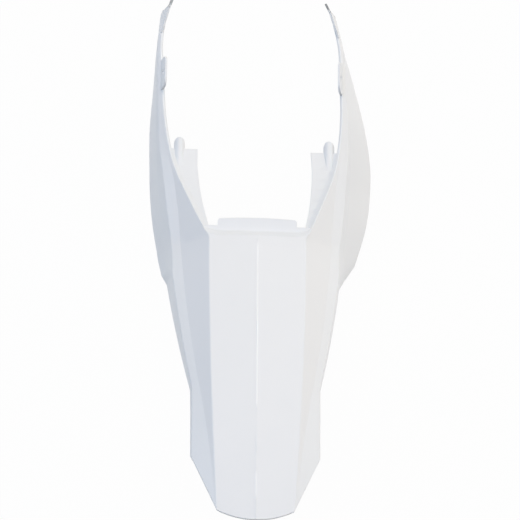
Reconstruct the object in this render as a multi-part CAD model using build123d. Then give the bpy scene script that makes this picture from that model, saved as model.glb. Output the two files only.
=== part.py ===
from build123d import *
import os
from math import atan2, ceil, cos, degrees, hypot, radians, sin, tan
from typing import NamedTuple
import numpy as np

# Rear fender of an off-road motorcycle, moulded in one piece with its side panels and arms.
# Millimetres. +X is the rider's right, +Y forward, +Z up. The origin is on top of the seat tab.

# Skin
WALL = 2.6
EDGE_RADIUS = 4.0
ROW_SPACING = 18.0
ARC_ROOM = 0.42
END_ROUNDING = 0.47
TOOL_REACH = 300.0
OVERRUN = 20.0

# Seat tab and the step up from it to the tail panel
TAB_WIDTH = 100.0
TAB_REACH = 10.0
TAB_BOW = 2.0
TAB_CORNER_RADIUS = 4.0
NOTCH_BACK = -1.0
STEP_FOOT = -8.0
STEP_RUN = 12.0
STEP_HEIGHT = 9.0
BEND_RADIUS = 4.5
STEP_BEND = 4.5
STEP_CORNER = 52.0
STEP_SWEEP = 5.0
STEP_FALL = 3.0
GUSSET_SPACING = 36.0
GUSSET_LENGTH = 34.0
GUSSET_THICKNESS = 2.0
GUSSET_TOE = 2.0

# Tail panel
TAIL_LENGTH = 368.0
TAIL_RISE = 68.0
TAIL_BOW = 6.0
PANEL_WIDTH = 122.0
END_WIDTH = 92.0
END_BOW = 11.0
TAPER_LENGTH = 71.0
CROWN = 2.5
BEAD_WIDTH = 3.0
BEAD_HEIGHT = 0.5
LIP_DEPTH = 6.0

# Skirts beside the tail
TAIL_WIDTH = 160.5
CORNER_WIDTH = 158.0
SKIRT_WIDTH = 222.0
SKIRT_SWELL = 3.5
WAIST_SETBACK = 197.0
FACET_SLOPE = 48.0
END_SLOPE = 38.0

# Side panels and arms
PANEL_SETBACK = 24.0
JOGGLE_LENGTH = 14.0
JOGGLE_DEPTH = 7.0
FLANK = 42.0
APEX = 88.0
ARM_ROOT = 160.0
ARM_REACH = 310.0
ARM_LEAN = -12.5
LEAN_ONSET = 1.4
SILENCER_BULGE = 9.5
TIP_CHAMFER = 22.0
TIP_CHAMFER_DEPTH = 40.0

# Rim and flange along each side of the seat, with a finger at the flange's front
FLANGE_REACH = 113.0
RIM_WIDTH = 6.0
RIM_DEPTH = 3.0
RIM_TUCK = 2.2
RIM_LEDGE = 0.3
RIM_SHARE = 0.6
FLANGE_BELOW_TAB = 1.0
FINGER_WIDTH = 14.0
FINGER_HEIGHT = 5.0
FINGER_LENGTH = 40.0
FINGER_OVERHANG = 14.5
FINGER_INSET = 13.0

# Ears standing on the arms' ridges: one with a bolt hole, one with a hook at the tip
EAR_LEAN = 14.0
EAR_ROOT = 3.0
BOLT_EAR_PLACE = 0.37
BOLT_EAR_LENGTH = 42.0
BOLT_EAR_HEIGHT = 20.0
BOLT_EAR_RADIUS = 9.0
HOLE_DIAMETER = 6.5
HOLE_HEIGHT = 11.0
TIP_EAR_LENGTH = 34.0
TIP_EAR_HEIGHT = 16.0
TIP_EAR_LEAN = 20.0
HOOK_LENGTH = 15.0
HOOK_HEIGHT = 6.0
HOOK_TURN = 12.0
NECK_PLACE = 0.68

FRONT = STEP_FOOT - STEP_RUN
TIP = FRONT - TAIL_LENGTH
CORNER = TIP + END_BOW + TAPER_LENGTH
WAIST = FRONT - WAIST_SETBACK
PANEL_REAR = FRONT - PANEL_SETBACK
SKIRT_END = PANEL_REAR - JOGGLE_LENGTH
BOLT_EAR = ARM_ROOT + BOLT_EAR_PLACE * (ARM_REACH - ARM_ROOT)
NECK = ARM_ROOT + NECK_PLACE * (ARM_REACH - ARM_ROOT)
PANEL_FALL = (TAIL_RISE + 4 * TAIL_BOW) / TAIL_LENGTH


class Section(NamedTuple):
    """Half a cross-section: the ridge as (out, up), then each facet as (out, down) from the one before it.

    bulge is the share of the silencer's bulge that it takes, and flange is where the seat flange ends.
    """

    y: float
    ridge: tuple
    facet: tuple
    shoulder: tuple
    step: tuple
    skirt: tuple
    bulge: float = 0.0
    flange: float = 0.0

    def sizes(self):
        pairs = [*self.ridge, *self.facet, *self.shoulder, *self.step, *self.skirt]
        return [self.y, *pairs, self.bulge, self.flange]


def section_of(sizes):
    """The section that has these sizes."""
    y, *pairs, bulge, flange = sizes
    return Section(y, *zip(pairs[::2], pairs[1::2]), bulge, flange)


def fine_rows(rows):
    """The rows with others between them, each size on a cubic curve through the rows."""
    known = np.array([row.sizes() for row in rows])
    gaps = np.diff(known[:, :1], axis=0)
    rates = np.diff(known, axis=0) / gaps
    middle = (rates[:-1] * gaps[1:] + rates[1:] * gaps[:-1]) / (gaps[1:] + gaps[:-1])
    slopes = np.vstack([rates[:1], middle, rates[-1:]])
    fine = []
    for i, gap in enumerate(gaps[:, 0]):
        count = ceil(gap / ROW_SPACING)
        for t in np.arange(count) / count:
            ends = (1 + 2 * t) * (1 - t) ** 2 * known[i] + (3 - 2 * t) * t**2 * known[i + 1]
            turns = t * (1 - t) ** 2 * slopes[i] - t**2 * (1 - t) * slopes[i + 1]
            fine.append(section_of((ends + gap * turns).tolist()))
    return fine + [rows[-1]]


def ridge_place(y):
    """The edge of the tail panel, as (out, up)."""
    share = max(FRONT - y, 0.0) / TAIL_LENGTH
    out = PANEL_WIDTH / 2 - (PANEL_WIDTH - END_WIDTH) / 2 * share**1.6
    return out, STEP_HEIGHT + TAIL_RISE * share + 4 * TAIL_BOW * share * (1 - share)


def tail_section(y, width, facet_out, shoulder_down, skirt, step=(0.5, 3.0)):
    """A section of the tail, its shoulder as wide as the other facets leave it."""
    ridge = ridge_place(y)
    slope = FACET_SLOPE + (END_SLOPE - FACET_SLOPE) * (FRONT - y) / TAIL_LENGTH
    facet = (facet_out, facet_out * tan(radians(slope)))
    shoulder_out = width / 2 - ridge[0] - facet_out - step[0] - skirt[0]
    return Section(y, ridge, facet, (shoulder_out, shoulder_down), step, skirt)


REAR_ROWS = [
    tail_section(TIP - 8, CORNER_WIDTH, 0.6, 14.0, (0.5, 4.0)),
    tail_section(CORNER, CORNER_WIDTH, 4.2, 10.5, (0.5, 7.0)),
    tail_section(WAIST, TAIL_WIDTH, 14.0, 5.0, (1.0, 22.0)),
]
SKIRT_ROWS = [
    REAR_ROWS[-1],
    tail_section((WAIST + SKIRT_END) / 2, (TAIL_WIDTH + SKIRT_WIDTH) / 2 + SKIRT_SWELL, 24.0, 6.0, (3.0, 43.0)),
    tail_section(SKIRT_END, SKIRT_WIDTH, 31.5, 6.0, (5.0, 62.0)),
]
JOGGLE_ROWS = [
    SKIRT_ROWS[-1],
    tail_section(PANEL_REAR, SKIRT_WIDTH + 2 * JOGGLE_DEPTH, 32.6, 6.0, (7.5, 44.0), (4.5, 24.0)),
]
ARM_ROWS = [
    Section(FRONT, ridge_place(FRONT), (34.5, 38.3), (11.8, 6.0), (5.2, 25.0), (15.3, 48.0), 0.5, 57.0),
    Section(FLANK, (87.0, -19.5), (13.5, 15.0), (14.5, 7.0), (6.5, 28.0), (19.7, 56.0), 1.02, 69.5),
    Section(APEX, (104.0, -36.0), (3.5, 3.0), (12.0, 6.5), (5.3, 26.0), (21.0, 63.0), 1.24, 73.5),
    Section(FLANGE_REACH, (109.5, -41.0), (4.0, 3.0), (8.5, 5.5), (4.0, 18.0), (20.5, 66.0), 1.31, 73.0),
    Section(ARM_ROOT, (115.5, -46.0), (3.5, 2.5), (4.5, 3.0), (2.5, 9.0), (17.8, 62.0), 1.08, 71.0),
    Section(BOLT_EAR, (117.0, -51.0), (2.5, 1.5), (3.0, 2.0), (1.4, 5.0), (10.3, 45.0), 0.69),
    Section(NECK, (117.5, -55.0), (2.0, 1.4), (1.8, 1.6), (0.8, 3.0), (3.7, 34.0), 0.29),
    Section(ARM_REACH, (110.0, -59.5), (1.8, 1.4), (1.5, 1.5), (0.6, 2.5), (2.5, 19.0)),
]
ARM_BANDS = fine_rows(ARM_ROWS)
PANEL_ROWS = [JOGGLE_ROWS[-1], ARM_ROWS[0]]


def facet_chain(row, side):
    """Outer corners of a section from the ridge to the hem, measured outward on the right (1) or left (-1)."""
    skirt = (row.skirt[0] + side * SILENCER_BULGE * row.bulge, row.skirt[1])
    corners = [row.ridge]
    for out, down in (row.facet, row.shoulder, row.step, skirt):
        corners.append((corners[-1][0] + out, corners[-1][1] - down))
    return corners


def inset(points, distance):
    """An open line of points moved to its right-hand side, with mitred corners."""
    moved = []
    for i, (x, z) in enumerate(points):
        normals = []
        for a, b in zip(points[max(i - 1, 0) : i + 1], points[max(i, 1) : i + 2]):
            length = hypot(b[0] - a[0], b[1] - a[1])
            normals.append(((b[1] - a[1]) / length, (a[0] - b[0]) / length))
        nx = sum(n[0] for n in normals) / len(normals)
        nz = sum(n[1] for n in normals) / len(normals)
        reach = distance / (nx * nx + nz * nz)
        moved.append((x + nx * reach, z + nz * reach))
    return moved


def rounded_face(points, radius, rounded):
    """Face inside a closed loop of points, with an arc at each corner whose number is in rounded."""
    starts, middles, ends = [], [], []
    for i, corner in enumerate(points):
        back = points[i - 1] - corner
        ahead = points[(i + 1) % len(points)] - corner
        half = radians(180 - back.get_angle(ahead)) / 2
        room = ARC_ROOM * min(back.length, ahead.length)
        length = min(radius * tan(half), room) if i in rounded else 0.0
        rise = length / tan(half) * (1 / cos(half) - 1)
        starts.append(corner + back.normalized() * length)
        middles.append(corner + (back.normalized() + ahead.normalized()).normalized() * rise)
        ends.append(corner + ahead.normalized() * length)
    edges = []
    for i in range(len(points)):
        if i in rounded:
            edges.append(Edge.make_three_point_arc(starts[i], middles[i], ends[i]))
        edges.append(Edge.make_line(ends[i], starts[(i + 1) % len(points)]))
    return Face(Wire(edges))


def tail_band(row):
    """Cross-section of the tail skin from hem to hem, with the raised bead along its middle."""
    right = facet_chain(row, 1)
    left = [(-x, z) for x, z in facet_chain(row, -1)][::-1]
    top = row.ridge[1] + CROWN
    bead_foot = top - CROWN * BEAD_WIDTH / 2 / row.ridge[0]
    bead = [(-BEAD_WIDTH / 2, bead_foot), (0.0, top + BEAD_HEIGHT), (BEAD_WIDTH / 2, bead_foot)]
    loop = left + bead + right + inset(left + [(0.0, top)] + right, WALL)[::-1]
    return rounded_face([Vector(x, row.y, z) for x, z in loop], EDGE_RADIUS, {1, 2, 3, 4, 8, 9, 10, 11})


def tail_outline():
    """Plan outline of the tail: the tapered corners and the bowed trailing edge."""
    slope = TAPER_LENGTH / ((CORNER_WIDTH - END_WIDTH) / 2)
    beyond = CORNER_WIDTH / 2 + OVERRUN
    side = [
        Vector(END_WIDTH / 2, TIP + END_BOW),
        Vector(beyond, CORNER + OVERRUN * slope),
        Vector(beyond, WAIST + OVERRUN),
    ]
    other = [Vector(-p.X, p.Y) for p in side]
    edge = Edge.make_three_point_arc(other[0], Vector(0, TIP), side[0])
    return Face(Wire([edge, *Polyline(*side, *other[::-1]).edges()]))


def tail_end():
    """Rear of the tail, cut to its outline, with a lip turned down along the cut edge."""
    outline = tail_outline()
    keep = extrude(outline, TOOL_REACH, both=True)
    skin = loft([tail_band(row) for row in REAR_ROWS]) & keep
    slabs = []
    for row in REAR_ROWS:
        right = facet_chain(row, 1)[:3]
        line = [(-x, z) for x, z in right[::-1]] + [(0.0, row.ridge[1] + CROWN)] + right
        loop = [(x, z - WALL / 2) for x, z in line] + [(x, z - LIP_DEPTH) for x, z in line[::-1]]
        slabs.append(Face(Wire.make_polygon([Vector(x, row.y, z) for x, z in loop])))
    inside = extrude(offset(outline, -WALL), TOOL_REACH, both=True)
    return [skin, loft(slabs) & (keep - inside)]


def lean(y):
    """Sideways set of both arms, growing toward their tips."""
    return ARM_LEAN * (max(y - FRONT, 0.0) / (ARM_REACH - FRONT)) ** LEAN_ONSET


def placed(points, y, side):
    """Points of a half section put into the frame on their own side."""
    return [Vector(side * x + lean(y), y, z) for x, z in points]


def rim_size(row):
    """Width and fall of the rim between the ridge and the flange, which stays below the top of the seat tab."""
    width = min(RIM_WIDTH, RIM_SHARE * (row.ridge[0] - row.flange))
    return width, max(RIM_DEPTH, row.ridge[1] + FLANGE_BELOW_TAB)


def arm_skin(side):
    """Side panel and arm on one side, from the step to the arm's end, its upper edge cut along the rim."""
    bands = []
    for row in ARM_BANDS:
        chain = facet_chain(row, side)
        inner = inset(chain, WALL)
        across, down = row.facet
        width, drop = rim_size(row)
        share = WALL * hypot(across, down) / (width * down + drop * across)
        inner[0] = (chain[0][0] - share * width, chain[0][1] - share * drop)
        bands.append(rounded_face(placed(chain + inner[::-1], row.y, side), EDGE_RADIUS, {0, 1, 2, 3}))
    low = ARM_ROWS[-1].ridge[1] - TIP_EAR_HEIGHT
    foot = low - TIP_CHAMFER_DEPTH
    beyond = ARM_REACH + WALL
    tip = [(ARM_REACH - TIP_CHAMFER, foot), (beyond, low), (beyond, foot)]
    cut = Face(Wire.make_polygon([Vector(0, y, z) for y, z in tip]))
    return loft(bands, ruled=True) - extrude(cut, TOOL_REACH, dir=(1, 0, 0), both=True)


def seat_rim(side):
    """Wall down from the ridge along the seat, and the flange at its foot for the seat's edge."""
    bands = []
    for row in ARM_BANDS:
        x, z = row.ridge[0] - RIM_LEDGE, row.ridge[1]
        width, drop = rim_size(row)
        tuck = RIM_TUCK / hypot(width, drop)
        foot = (x - width, z - drop)
        line = [(row.flange, foot[1]), foot, (x - tuck * width, z - tuck * drop)]
        if row.y <= FLANGE_REACH:
            bands.append(Face(Wire.make_polygon(placed(line + inset(line, WALL)[::-1], row.y, side))))
    return loft(bands, ruled=True)


def finger(side):
    """Half-round tongue that rises out of the flange and stands over its front edge."""
    row, behind = ARM_ROWS[3], ARM_ROWS[2]
    fall = (row.ridge[1] - behind.ridge[1]) / (row.y - behind.y)
    half = FINGER_WIDTH / 2
    arch = Edge.make_three_point_arc(Vector(half, 0, 0), Vector(0, 0, FINGER_HEIGHT), Vector(-half, 0, 0))
    base = Polyline((-half, 0, 0), (-half, 0, -WALL), (half, 0, -WALL), (half, 0, 0))
    bar = extrude(Face(Wire([arch, *base.edges()])), 2 * FINGER_LENGTH, dir=(0, 1, 0))
    rise = degrees(atan2(FINGER_HEIGHT, FINGER_LENGTH))
    plan = Rectangle(FINGER_WIDTH, FINGER_LENGTH, align=(Align.CENTER, Align.MIN))
    plan = fillet(plan.vertices().group_by(Axis.Y)[-1], END_ROUNDING * FINGER_WIDTH)
    room = Pos(0, 0, -WALL / 2) * extrude(plan, 3 * FINGER_HEIGHT)
    body = Pos(0, FINGER_OVERHANG - FINGER_LENGTH) * (Pos(0, 0, -FINGER_HEIGHT) * Rot(rise, 0, 0) * bar & room)
    spot = placed([(row.ridge[0] - FINGER_INSET, row.ridge[1] - rim_size(row)[1])], row.y, side)[0]
    return Plane(spot, x_dir=(1, 0, 0), z_dir=(0, -fall, 1)) * body


def ridge_out(y):
    """How far out the ridge lies beside the step."""
    start, end = ARM_ROWS[:2]
    return start.ridge[0] + (y - start.y) / (end.y - start.y) * (end.ridge[0] - start.ridge[0])


def step_plan():
    """Plan of the step: as wide as the ridges allow, with the bowed tab standing out forward."""
    wide, near = ridge_out(FRONT), ridge_out(NOTCH_BACK)
    floor = [Vector(-wide, FRONT), Vector(wide, FRONT), Vector(near, NOTCH_BACK), Vector(-near, NOTCH_BACK)]
    half = TAB_WIDTH / 2
    side = TAB_REACH - TAB_BOW
    bow = Edge.make_three_point_arc(Vector(half, side), Vector(0, TAB_REACH), Vector(-half, side))
    tab = Face(Wire([bow, *Polyline((-half, side), (-half, FRONT), (half, FRONT), (half, side)).edges()]))
    tab = fillet(tab.vertices().group_by(Axis.Y)[-1], TAB_CORNER_RADIUS)
    return tab + Face(Wire.make_polygon(floor))


def panel_rise(x):
    """Height of the tail panel's front end above its edges, at a place across it."""
    return CROWN * max(1 - abs(x) / (PANEL_WIDTH / 2), 0.0)


def seat_step():
    """Step down from the tail panel, swept forward at its ends, with the seat tab in front of it."""
    edge, outer = PANEL_WIDTH / 2, ridge_out(NOTCH_BACK)
    profiles = []
    for x in (-outer, -edge, -STEP_CORNER, 0.0, STEP_CORNER, edge, outer):
        sweep = STEP_SWEEP * max(abs(x) - STEP_CORNER, 0.0) / (outer - STEP_CORNER)
        bend = STEP_BEND + sweep
        z = STEP_HEIGHT + panel_rise(x) - (STEP_FALL if abs(x) == outer else 0.0)
        line = [(FRONT, z), (FRONT + bend, z - bend * PANEL_FALL)]
        line += [(STEP_FOOT + sweep, 0.0), (TAB_REACH + WALL, 0.0)]
        loop = line + inset(line, WALL)[::-1]
        profiles.append(rounded_face([Vector(x, y, z) for y, z in loop], BEND_RADIUS, {1, 2}))
    return loft(profiles, ruled=True) & extrude(step_plan(), TOOL_REACH, both=True)


def gussets():
    """Triangular ribs behind the step, under the tail panel."""
    back = FRONT - GUSSET_LENGTH
    top = [(back, ridge_place(back)[1]), (FRONT, STEP_HEIGHT)]
    top.append((FRONT + STEP_BEND, STEP_HEIGHT - STEP_BEND * PANEL_FALL))
    foot = [(STEP_FOOT, -WALL / 2), (STEP_FOOT - GUSSET_TOE, -WALL)]
    ribs = []
    for x in (-GUSSET_SPACING, 0.0, GUSSET_SPACING):
        line = [(y, z + panel_rise(x) - WALL / 2) for y, z in top] + foot
        face = Face(Wire.make_polygon([Vector(x, y, z) for y, z in line]))
        ribs.append(extrude(face, GUSSET_THICKNESS / 2, dir=(1, 0, 0), both=True))
    return ribs


def ear_plane(row):
    """Plane of an ear on the right arm: its x runs forward, its y up and over the seat."""
    lean_angle = radians(EAR_LEAN)
    return Plane((row.ridge[0], row.y, row.ridge[1]), (0, 1, 0), (cos(lean_angle), 0, sin(lean_angle)))


def on_arm(shape, y, side):
    """A shape drawn on the right arm, put on its own side and set over with the arm."""
    return Pos(lean(y), 0, 0) * (shape if side > 0 else mirror(shape, Plane.YZ))


def bolt_ear(side):
    """Ear with a bolt hole."""
    row = ARM_ROWS[5]
    outline = Rectangle(BOLT_EAR_LENGTH, EAR_ROOT + BOLT_EAR_HEIGHT, align=(Align.CENTER, Align.MIN))
    outline = fillet(outline.vertices().group_by(Axis.Y)[-1], BOLT_EAR_RADIUS)
    outline = Pos(0, -EAR_ROOT) * outline - Pos(0, HOLE_HEIGHT) * Circle(HOLE_DIAMETER / 2)
    return on_arm(ear_plane(row) * extrude(outline, WALL / 2, both=True), row.y, side)


def ridge_point(y, side):
    """A place on the ridge of one arm."""
    places = [row.y for row in ARM_BANDS]
    out, up = (float(np.interp(y, places, [row.ridge[i] for row in ARM_BANDS])) for i in (0, 1))
    return placed([(out, up)], y, side)[0]


def tip_ear(side):
    """Fin along the arm's end, rising forward, with a hook at its top turned in over the seat."""
    tip = ridge_point(ARM_REACH, side)
    along = (tip - ridge_point(ARM_REACH - TIP_EAR_LENGTH, side)).normalized()
    lean_angle = radians(TIP_EAR_LEAN)
    plane = Plane(tip, along, along.cross(Vector(-side * sin(lean_angle), 0, cos(lean_angle))))
    fin = [(-TIP_EAR_LENGTH, -EAR_ROOT), (0, -EAR_ROOT), (0, TIP_EAR_HEIGHT), (-TIP_EAR_LENGTH, 0)]
    body = extrude(Face(Wire.make_polygon([Vector(*point) for point in fin])), WALL / 2, both=True)
    outline = Rectangle(HOOK_LENGTH, HOOK_HEIGHT, align=(Align.MIN, Align.MAX))
    outline = fillet(outline.vertices().group_by(Axis.X)[-1], END_ROUNDING * HOOK_HEIGHT)
    hook = Pos(-WALL, TIP_EAR_HEIGHT) * Rot(0, side * HOOK_TURN, 0) * extrude(outline, WALL / 2, both=True)
    return plane * (body + hook)


def fender():
    """The whole moulding as one solid."""
    pieces = [
        *tail_end(),
        loft([tail_band(row) for row in SKIRT_ROWS]),
        loft([tail_band(row) for row in JOGGLE_ROWS], ruled=True),
        loft([tail_band(row) for row in PANEL_ROWS], ruled=True),
        seat_step(),
        *gussets(),
    ]
    for side in (1, -1):
        pieces += [arm_skin(side), seat_rim(side), finger(side), bolt_ear(side), tip_ear(side)]
    return pieces[0] + pieces[1:]


os.makedirs("parts", exist_ok=True)
export_step(fender().solid(), "parts/rear_fender.step")
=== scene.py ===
import math

import bpy
from mathutils import Matrix, Vector


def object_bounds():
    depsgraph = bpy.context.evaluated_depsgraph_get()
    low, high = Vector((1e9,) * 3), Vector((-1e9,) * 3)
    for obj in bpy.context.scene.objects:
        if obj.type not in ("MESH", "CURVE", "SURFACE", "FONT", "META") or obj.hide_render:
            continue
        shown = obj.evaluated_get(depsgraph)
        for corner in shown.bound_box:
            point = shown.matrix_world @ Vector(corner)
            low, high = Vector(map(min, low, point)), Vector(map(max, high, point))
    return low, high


# Camera: angles in degrees, distance and aim in metres, lens in millimetres
CAMERA_AZIMUTH = 9.712
CAMERA_ELEVATION = 73.975
CAMERA_ROLL = 11.006
CAMERA_DISTANCE = 3.199
CAMERA_LENS = 175.13
CAMERA_AIM = (0.0051, -0.0388, -0.0223)

# Light: colour, power in watts, size and place in metres; each lamp looks at the fender.
# The right lamp stands low, so it is kept out of reflections: seen from the left, the tail would mirror it.
SKY_COLOUR = (0.91, 0.955, 1.0)
SKY_LEVEL = 0.22
UNMIRRORED_LAMP = "right_lamp"
LAMPS = {
    "right_lamp": ((1.0, 0.91, 0.86), 87.0, 3.4, (4.08, 0.34, 0.85)),
    "top_lamp": ((1.0, 0.92, 0.95), 48.2, 3.4, (0.0, 0.85, 4.25)),
    "front_lamp": ((1.0, 0.79, 0.55), 62.0, 3.4, (0.0, 2.89, 3.4)),
    "left_lamp": ((0.49, 0.71, 1.0), 60.4, 3.4, (-2.72, 0.0, 3.23)),
    "crease_lamp": ((0.57, 0.91, 1.0), 21.7, 0.85, (2.55, 2.46, 2.63)),
    "ridge_lamp": ((0.8, 0.9, 1.0), 5.8, 0.85, (-2.29, 2.63, 2.8)),
}

# Plastic: each noise is its scale and detail, and each range is what the noise runs between
PLASTIC_IOR = 1.49
PLASTIC_COLOUR = (0.86, 0.87, 0.88)
PLASTIC_SHADE = (0.82, 0.835, 0.85)
NOISE_MIDDLE = (0.3, 0.7)
FLOW_NOISE = (9.0, 3.0)
FLOW_RANGE = (0.55, 1.0)
GLOSS_NOISE = (60.0, 5.0)
ROUGHNESS_RANGE = (0.31, 0.38)
PEEL_NOISE = (420.0, 2.0)
PEEL_STRENGTH = 0.06
PEEL_DEPTH = 0.0004
EDGE_RADIUS = 0.0009
EDGE_SAMPLES = 8

# Painted highlight along the tail's bead, a bright line standing in for the light the bead catches:
# stretches from rear to front, in metres
CREST_HIGHLIGHT_COLOUR = (0.97, 0.97, 0.97)
CREST_HIGHLIGHT_HALF_WIDTH = 0.0013
CREST_HIGHLIGHT_STRETCHES = ((-0.250, -0.021), (-0.366, -0.324))
CREST_HIGHLIGHT_FADE = 0.012

# Painted shade on the ends of the two tip hooks: where it starts and where it is full, in metres
TIP_SHADE_COLOUR = (0.22, 0.225, 0.23)
TIP_SHADE_START = 0.307
TIP_SHADE_FULL = 0.314
TIP_SHADE_RANGE = (0.7, 1.0)

# Shading of the CAD mesh
WELD_DISTANCE = 2e-6
SHARP_ANGLE = 28.0
FACET_WEIGHT = 60

# Floor, in metres; the glow is the share of white that the camera and the reflections see
FLOOR_DROP = 0.004
FLOOR_SIZE = 60.0
FLOOR_GLOW = 0.975
PAPER_COLOUR = (0.64, 0.64, 0.64)


def link(tree, source, target):
    """Joins two sockets, each written as (node, socket name or number)."""
    tree.links.new(source[0].outputs[source[1]], target[0].inputs[target[1]])


def empty_material(name):
    material = bpy.data.materials.new(name)
    material.use_nodes = True
    material.node_tree.nodes.clear()
    return material, material.node_tree


def noise(tree, place, size):
    """A noise over the object's own coordinates; size is its scale and detail."""
    node = tree.nodes.new("ShaderNodeTexNoise")
    node.inputs["Scale"].default_value, node.inputs["Detail"].default_value = size
    link(tree, (place, "Object"), (node, "Vector"))
    return node, "Fac"


def ramp(tree, source, limits):
    """Turns a noise's middle range into values between the two limits."""
    node = tree.nodes.new("ShaderNodeMapRange")
    node.inputs["From Min"].default_value, node.inputs["From Max"].default_value = NOISE_MIDDLE
    node.inputs["To Min"].default_value, node.inputs["To Max"].default_value = limits
    link(tree, source, (node, "Value"))
    return node, "Result"


def math_node(tree, operation, first, second):
    """Joins two values, each a number or a (node, socket name) pair."""
    node = tree.nodes.new("ShaderNodeMath")
    node.operation = operation
    for i, value in enumerate((first, second)):
        if isinstance(value, tuple):
            link(tree, value, (node, i))
        else:
            node.inputs[i].default_value = value
    return node, "Value"


def soft_limit(tree, source, inside, outside):
    """One where the value is at inside, falling smoothly to nought at outside."""
    node = tree.nodes.new("ShaderNodeMapRange")
    node.interpolation_type = "SMOOTHSTEP"
    node.inputs["From Min"].default_value = outside
    node.inputs["From Max"].default_value = inside
    link(tree, source, (node, "Value"))
    return node, "Result"


def tinted(tree, base, colour, share):
    """Lays a colour over the base by a share; the base is a colour too or a (node, socket name) pair."""
    node = tree.nodes.new("ShaderNodeMix")
    node.data_type = "RGBA"
    node.inputs["B"].default_value = (*colour, 1.0)
    if isinstance(base[0], float):
        node.inputs["A"].default_value = (*base, 1.0)
    else:
        link(tree, base, (node, "A"))
    link(tree, share, (node, "Factor"))
    return node, "Result"


def painted_crest_highlight(tree, axes):
    """Where the raised bead along the tail's middle gets a painted highlight."""
    across = math_node(tree, "ABSOLUTE", (axes, "X"), 0.0)
    near = soft_limit(tree, across, 0.5 * CREST_HIGHLIGHT_HALF_WIDTH, CREST_HIGHLIGHT_HALF_WIDTH)
    along = 0.0
    for rear, front in CREST_HIGHLIGHT_STRETCHES:
        behind = soft_limit(tree, (axes, "Y"), rear + CREST_HIGHLIGHT_FADE, rear)
        ahead = soft_limit(tree, (axes, "Y"), front - CREST_HIGHLIGHT_FADE, front)
        along = math_node(tree, "ADD", along, math_node(tree, "MULTIPLY", behind, ahead))
    return math_node(tree, "MULTIPLY", near, along)


def plastic_material():
    """White moulded polypropylene: faint orange peel, uneven gloss, soft edges, a painted highlight along
    the bead and painted shade on the hook ends.
    """
    material, tree = empty_material("white_plastic_moulded")
    output = tree.nodes.new("ShaderNodeOutputMaterial")
    shader = tree.nodes.new("ShaderNodeBsdfPrincipled")
    shader.inputs["IOR"].default_value = PLASTIC_IOR
    link(tree, (shader, "BSDF"), (output, "Surface"))

    place = tree.nodes.new("ShaderNodeTexCoord")
    axes = tree.nodes.new("ShaderNodeSeparateXYZ")
    link(tree, (place, "Object"), (axes, "Vector"))
    gloss = noise(tree, place, GLOSS_NOISE)
    link(tree, ramp(tree, gloss, ROUGHNESS_RANGE), (shader, "Roughness"))

    flow = ramp(tree, noise(tree, place, FLOW_NOISE), FLOW_RANGE)
    # Painted shade: the ends of the tip hooks are darkened, made patchy by the gloss noise
    hook_end_shade = soft_limit(tree, (axes, "Y"), TIP_SHADE_FULL, TIP_SHADE_START)
    tip_shade_share = math_node(tree, "MULTIPLY", hook_end_shade, ramp(tree, gloss, TIP_SHADE_RANGE))
    colour = tinted(tree, PLASTIC_SHADE, PLASTIC_COLOUR, flow)
    # Painted highlight: a bright line along the bead where it would catch the light
    colour = tinted(tree, colour, CREST_HIGHLIGHT_COLOUR, painted_crest_highlight(tree, axes))
    colour = tinted(tree, colour, TIP_SHADE_COLOUR, tip_shade_share)
    link(tree, colour, (shader, "Base Color"))

    edge = tree.nodes.new("ShaderNodeBevel")
    edge.samples = EDGE_SAMPLES
    edge.inputs["Radius"].default_value = EDGE_RADIUS
    bump = tree.nodes.new("ShaderNodeBump")
    bump.inputs["Strength"].default_value = PEEL_STRENGTH
    bump.inputs["Distance"].default_value = PEEL_DEPTH
    link(tree, noise(tree, place, PEEL_NOISE), (bump, "Height"))
    link(tree, (edge, "Normal"), (bump, "Normal"))
    link(tree, (bump, "Normal"), (shader, "Normal"))
    return material


def floor_material():
    """White paper that stays white to the camera and still takes the fender's shadow."""
    material, tree = empty_material("floor_paper")
    material.cycles.emission_sampling = "NONE"
    output = tree.nodes.new("ShaderNodeOutputMaterial")
    paper = tree.nodes.new("ShaderNodeBsdfDiffuse")
    paper.inputs["Color"].default_value = (*PAPER_COLOUR, 1.0)
    glow = tree.nodes.new("ShaderNodeEmission")
    path = tree.nodes.new("ShaderNodeLightPath")
    seen = math_node(tree, "MAXIMUM", (path, "Is Camera Ray"), (path, "Is Glossy Ray"))
    both = tree.nodes.new("ShaderNodeMixShader")
    link(tree, math_node(tree, "MULTIPLY", seen, FLOOR_GLOW), (both, 0))
    link(tree, (paper, 0), (both, 1))
    link(tree, (glow, 0), (both, 2))
    link(tree, (both, 0), (output, "Surface"))
    return material


def smooth_shading(node):
    """Shades the CAD mesh smooth except over its real edges; its points stay where they are."""
    weld = node.modifiers.new("weld", "WELD")
    weld.merge_threshold = WELD_DISTANCE
    split = node.modifiers.new("real_edges", "EDGE_SPLIT")
    split.split_angle = math.radians(SHARP_ANGLE)
    split.use_edge_sharp = False
    flat = node.modifiers.new("flat_facets", "WEIGHTED_NORMAL")
    flat.mode = "FACE_AREA"
    flat.weight = FACET_WEIGHT


def make_floor(lowest):
    bpy.ops.mesh.primitive_plane_add(size=FLOOR_SIZE, location=(0, 0, lowest - FLOOR_DROP))
    floor = bpy.context.object
    floor.name = "floor"
    floor.data.materials.append(floor_material())


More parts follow.
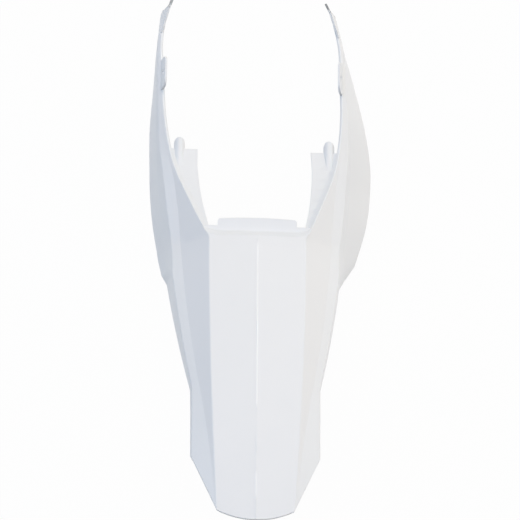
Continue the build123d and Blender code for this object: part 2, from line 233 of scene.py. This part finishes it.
def make_camera():
    data = bpy.data.cameras.new("camera")
    data.lens = CAMERA_LENS
    camera = bpy.data.objects.new("camera", data)
    bpy.context.scene.collection.objects.link(camera)
    turn = (
        Matrix.Rotation(math.radians(-CAMERA_AZIMUTH), 4, "Z")
        @ Matrix.Rotation(math.radians(90 - CAMERA_ELEVATION), 4, "X")
        @ Matrix.Rotation(math.radians(CAMERA_ROLL), 4, "Z")
    )
    back = turn.to_3x3() @ Vector((0, 0, 1))
    camera.matrix_world = Matrix.Translation(Vector(CAMERA_AIM) + back * CAMERA_DISTANCE) @ turn
    bpy.context.scene.camera = camera


def make_lamp(name, colour, power, size, place):
    data = bpy.data.lights.new(name, "AREA")
    data.color = colour
    data.energy = power
    data.size = size
    lamp = bpy.data.objects.new(name, data)
    bpy.context.scene.collection.objects.link(lamp)
    lamp.visible_glossy = name != UNMIRRORED_LAMP
    lamp.location = place
    lamp.rotation_euler = (-Vector(place)).to_track_quat("-Z", "Y").to_euler()


def make_sky():
    world = bpy.data.worlds.new("sky")
    world.use_nodes = True
    background = world.node_tree.nodes["Background"]
    background.inputs["Color"].default_value = (*SKY_COLOUR, 1.0)
    background.inputs["Strength"].default_value = SKY_LEVEL
    bpy.context.scene.world = world


bpy.ops.wm.read_factory_settings(use_empty=True)
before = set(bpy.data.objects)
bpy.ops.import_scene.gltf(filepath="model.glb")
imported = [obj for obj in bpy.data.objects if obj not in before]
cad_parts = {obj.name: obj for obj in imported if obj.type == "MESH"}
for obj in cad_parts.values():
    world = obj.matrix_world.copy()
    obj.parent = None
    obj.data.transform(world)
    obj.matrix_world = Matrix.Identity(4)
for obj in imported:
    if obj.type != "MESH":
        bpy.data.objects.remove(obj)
cad_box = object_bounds()
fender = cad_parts["rear_fender"]
fender.material_slots[0].material = plastic_material()
smooth_shading(fender)

make_camera()
make_floor(cad_box[0].z)
make_sky()
for name, lamp in LAMPS.items():
    make_lamp(name, *lamp)
bpy.context.scene.view_settings.view_transform = "Standard"
